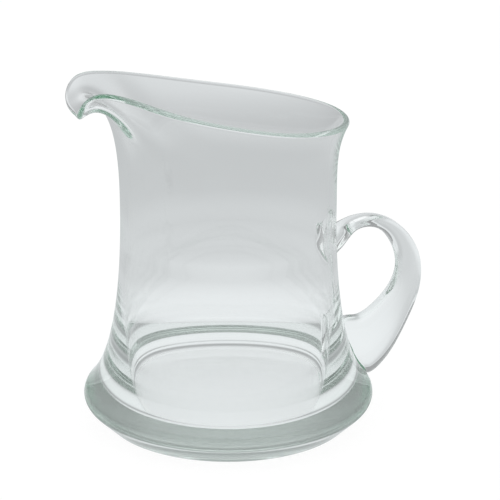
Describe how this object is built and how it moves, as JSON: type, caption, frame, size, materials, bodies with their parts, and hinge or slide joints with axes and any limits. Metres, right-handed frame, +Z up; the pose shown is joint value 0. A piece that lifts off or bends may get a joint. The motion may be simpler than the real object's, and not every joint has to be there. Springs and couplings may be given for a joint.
{
  "type": "glass jug",
  "caption": "Clear glass water jug with a straight body, wide heavy foot, curled pouring lip and a solid strap handle fused to the wall.",
  "frame": {"origin": "centre of the foot's flat underside, on the axis of the round body", "axes": "+Z up along the body's axis, +X towards the handle, -X towards the pouring lip; the jug is symmetric about the XZ plane"},
  "size_m": [0.2029, 0.1646, 0.1976],
  "materials": {
    "clear_glass": "clear soda-lime glass with a faint green-grey tint, fire-polished"
  },
  "bodies": {
    "root": {"glass_jug": "clear_glass"}
  },
  "joints": []
}
